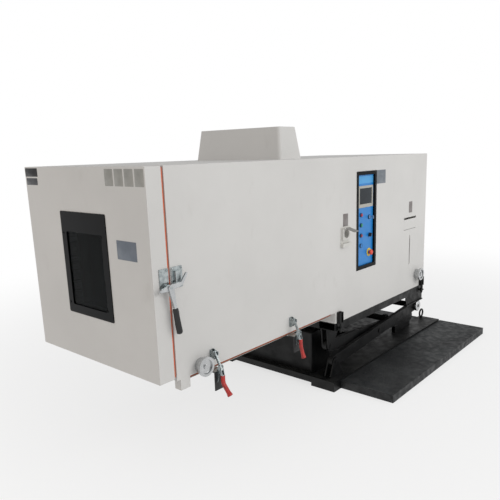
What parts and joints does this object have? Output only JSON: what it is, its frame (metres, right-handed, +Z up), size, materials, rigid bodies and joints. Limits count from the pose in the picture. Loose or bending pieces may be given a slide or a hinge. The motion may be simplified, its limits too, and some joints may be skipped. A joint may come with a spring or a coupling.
{
  "type": "environmental test chamber",
  "caption": "Long insulated test chamber with a windowed front door and a recessed control panel, standing on a low scissor lift with a deck.",
  "frame": {"origin": "on the floor, under the middle of the lift's base", "axes": "+X from the door to the machine end, the control side faces -Y, +Z up"},
  "size_m": [3.254, 1.98, 1.8],
  "materials": {
    "white_paint": "satin off-white powder coat",
    "black_paint": "satin black paint",
    "deck_paint": "dusty black paint",
    "stainless": "brushed stainless steel",
    "bright_steel": "bright plated steel",
    "aluminium": "bare aluminium",
    "door_silicone": "orange-red silicone",
    "floor_silicone": "brown-orange silicone",
    "blue_paint": "blue satin panel",
    "grey_bezel": "light grey powder coat",
    "dark_plastic": "dark plastic",
    "grey_plastic": "grey plastic",
    "red_plastic": "red plastic",
    "green_plastic": "green plastic",
    "red_grip": "steel handle with a red dipped grip",
    "black_metal": "black window frame",
    "glass": "clear glass",
    "wool": "glass wool"
  },
  "bodies": {
    "base": {"base_frame": "black_paint", "deck_plates": "deck_paint", "lifting_eyes": "black_paint", "lift_brackets": "black_paint", "power_pack": "black_paint"},
    "outer_arms": {"outer_arms": "black_paint"},
    "inner_arms": {"inner_arms": "black_paint"},
    "upper_rollers": {"upper_rollers": "bright_steel"},
    "lower_rollers": {"lower_rollers": "bright_steel"},
    "cylinder_barrel": {"cylinder_barrel": "black_paint"},
    "cylinder_rod": {"cylinder_rod": "bright_steel"},
    "chamber": {"lift_top_frame": "black_paint", "machine_skirt": "white_paint", "hold_down_clamps": "black_paint", "side_panel_control": "white_paint", "side_panel_back": "white_paint", "roof_panel": "white_paint", "rear_panel": "white_paint", "motor_hood": "white_paint", "front_frame": "white_paint", "inner_liner": "stainless", "insulation": "wool", "floor_panel": "stainless", "floor_seal": "floor_silicone", "body_catches": "stainless", "lifting_trunnions": "stainless", "fan_motor": "aluminium", "evaporator": "aluminium", "heater_rods": "stainless", "compressors": "black_paint", "condenser": "aluminium", "electrical_box": "grey_bezel", "water_tank": "grey_plastic", "control_bezel": "grey_bezel", "control_plate": "blue_paint", "touch_screen": "dark_plastic", "socket_box": "grey_plastic", "hinge_blocks": "stainless"},
    "circulation_fan": {"circulation_fan": "aluminium"},
    "condenser_fan": {"condenser_fan": "dark_plastic"},
    "door": {"door_shell": "white_paint", "door_insulation": "wool", "door_liner": "stainless", "door_seal": "door_silicone", "window_frame": "black_metal", "window_glass": "glass", "door_fittings": "stainless"},
    "latch_lever": {"latch_lever": "bright_steel"},
    "clamp_handle_front": {"clamp_handle_front": "red_grip"},
    "draw_bar_front": {"draw_bar_front": "stainless"},
    "clamp_handle_middle": {"clamp_handle_middle": "red_grip"},
    "draw_bar_middle": {"draw_bar_middle": "stainless"},
    "stop_button": {"stop_button": "red_plastic"},
    "start_button": {"start_button": "green_plastic"},
    "reset_button": {"reset_button": "dark_plastic"},
    "e_stop": {"e_stop": "red_plastic"},
    "key": {"key": "bright_steel"},
    "selector": {"selector": "dark_plastic"},
    "socket_lid": {"socket_lid": "dark_plastic"},
    "water_flap": {"water_flap": "white_paint"}
  },
  "joints": [
    {"name": "lift", "type": "hinge", "parent": "base", "child": "outer_arms", "pos_m": [-0.82, 0, 0.1723], "axis": [0, -1, 0], "range_deg": [0, 25]},
    {"name": "scissor_centre", "type": "hinge", "parent": "outer_arms", "child": "inner_arms", "pos_m": [-0.17014, 0, 0.22515], "axis": [0, -1, 0], "range_deg": [-50, 0]},
    {"name": "top_frame_pivot", "type": "hinge", "parent": "inner_arms", "child": "chamber", "pos_m": [-0.82, 0, 0.278], "axis": [0, -1, 0], "range_deg": [0, 25]},
    {"name": "upper_roller_spin", "type": "hinge", "parent": "outer_arms", "child": "upper_rollers", "pos_m": [0.47971, 0, 0.278], "axis": [0, 1, 0], "continuous": true},
    {"name": "lower_roller_spin", "type": "hinge", "parent": "inner_arms", "child": "lower_rollers", "pos_m": [0.47971, 0, 0.1723], "axis": [0, 1, 0], "continuous": true},
    {"name": "cylinder_pivot", "type": "hinge", "parent": "base", "child": "cylinder_barrel", "pos_m": [-0.312, 0, 0.1023], "axis": [0, -1, 0], "range_deg": [0, 31.14]},
    {"name": "cylinder_stroke", "type": "slide", "parent": "cylinder_barrel", "child": "cylinder_rod", "axis": [0.8714, 0, 0.4905], "range_m": [0, 0.0923]},
    {"name": "door_hinge", "type": "hinge", "parent": "chamber", "child": "door", "pos_m": [-2.293, 0.562, 1.0815], "axis": [0, 0, -1], "range_deg": [0, 110]},
    {"name": "latch", "type": "hinge", "parent": "door", "child": "latch_lever", "pos_m": [-2.316, -0.567, 1.038], "axis": [0, -1, 0], "range_deg": [0, 80]},
    {"name": "circulation_fan_spin", "type": "hinge", "parent": "chamber", "child": "circulation_fan", "pos_m": [-1.113, 0, 1.5], "axis": [0, 0, 1], "continuous": true},
    {"name": "condenser_fan_spin", "type": "hinge", "parent": "chamber", "child": "condenser_fan", "pos_m": [0.43, 0, 0.92], "axis": [1, 0, 0], "continuous": true},
    {"name": "clamp_front", "type": "hinge", "parent": "chamber", "child": "clamp_handle_front", "pos_m": [-2.045, -0.602, 0.56], "axis": [-1, 0, 0], "range_deg": [0, 120]},
    {"name": "draw_bar_front_pivot", "type": "hinge", "parent": "clamp_handle_front", "child": "draw_bar_front", "pos_m": [-2.045, -0.60726, 0.54489], "axis": [-1, 0, 0], "range_deg": [-132.5, 0]},
    {"name": "clamp_middle", "type": "hinge", "parent": "chamber", "child": "clamp_handle_middle", "pos_m": [-1.365, -0.602, 0.56], "axis": [-1, 0, 0], "range_deg": [0, 120]},
    {"name": "draw_bar_middle_pivot", "type": "hinge", "parent": "clamp_handle_middle", "child": "draw_bar_middle", "pos_m": [-1.365, -0.60726, 0.54489], "axis": [-1, 0, 0], "range_deg": [-132.5, 0]},
    {"name": "stop_button_press", "type": "slide", "parent": "chamber", "child": "stop_button", "axis": [0, 1, 0], "range_m": [0, 0.003], "stiffness_N_per_m": 400},
    {"name": "start_button_press", "type": "slide", "parent": "chamber", "child": "start_button", "axis": [0, 1, 0], "range_m": [0, 0.003], "stiffness_N_per_m": 400},
    {"name": "reset_button_press", "type": "slide", "parent": "chamber", "child": "reset_button", "axis": [0, 1, 0], "range_m": [0, 0.003], "stiffness_N_per_m": 400},
    {"name": "e_stop_press", "type": "slide", "parent": "chamber", "child": "e_stop", "axis": [0, 1, 0], "range_m": [0, 0.004]},
    {"name": "key_turn", "type": "hinge", "parent": "chamber", "child": "key", "pos_m": [-0.39, -0.528, 1.163], "axis": [0, -1, 0], "range_deg": [0, 90]},
    {"name": "selector_turn", "type": "hinge", "parent": "chamber", "child": "selector", "pos_m": [-0.39, -0.528, 1.031], "axis": [0, -1, 0], "range_deg": [-45, 45]},
    {"name": "socket_lid_hinge", "type": "hinge", "parent": "chamber", "child": "socket_lid", "pos_m": [-0.74, -0.5625, 1.1235], "axis": [-1, 0, 0], "range_deg": [-75, 15]},
    {"name": "water_flap_hinge", "type": "hinge", "parent": "chamber", "child": "water_flap", "pos_m": [0.266, -0.534, 0.9968], "axis": [1, 0, 0], "range_deg": [0, 60]}
  ],
  "couplings": [
    {"joint": "scissor_centre", "follows": "lift", "ratio": -2},
    {"joint": "top_frame_pivot", "follows": "lift", "ratio": 1},
    {"joint": "cylinder_pivot", "follows": "lift", "ratio": 1.2435},
    {"joint": "cylinder_stroke", "follows": "lift", "m_per_rad": 0.211},
    {"joint": "draw_bar_front_pivot", "follows": "clamp_front", "ratio": -1.1},
    {"joint": "draw_bar_middle_pivot", "follows": "clamp_middle", "ratio": -1.1}
  ]
}
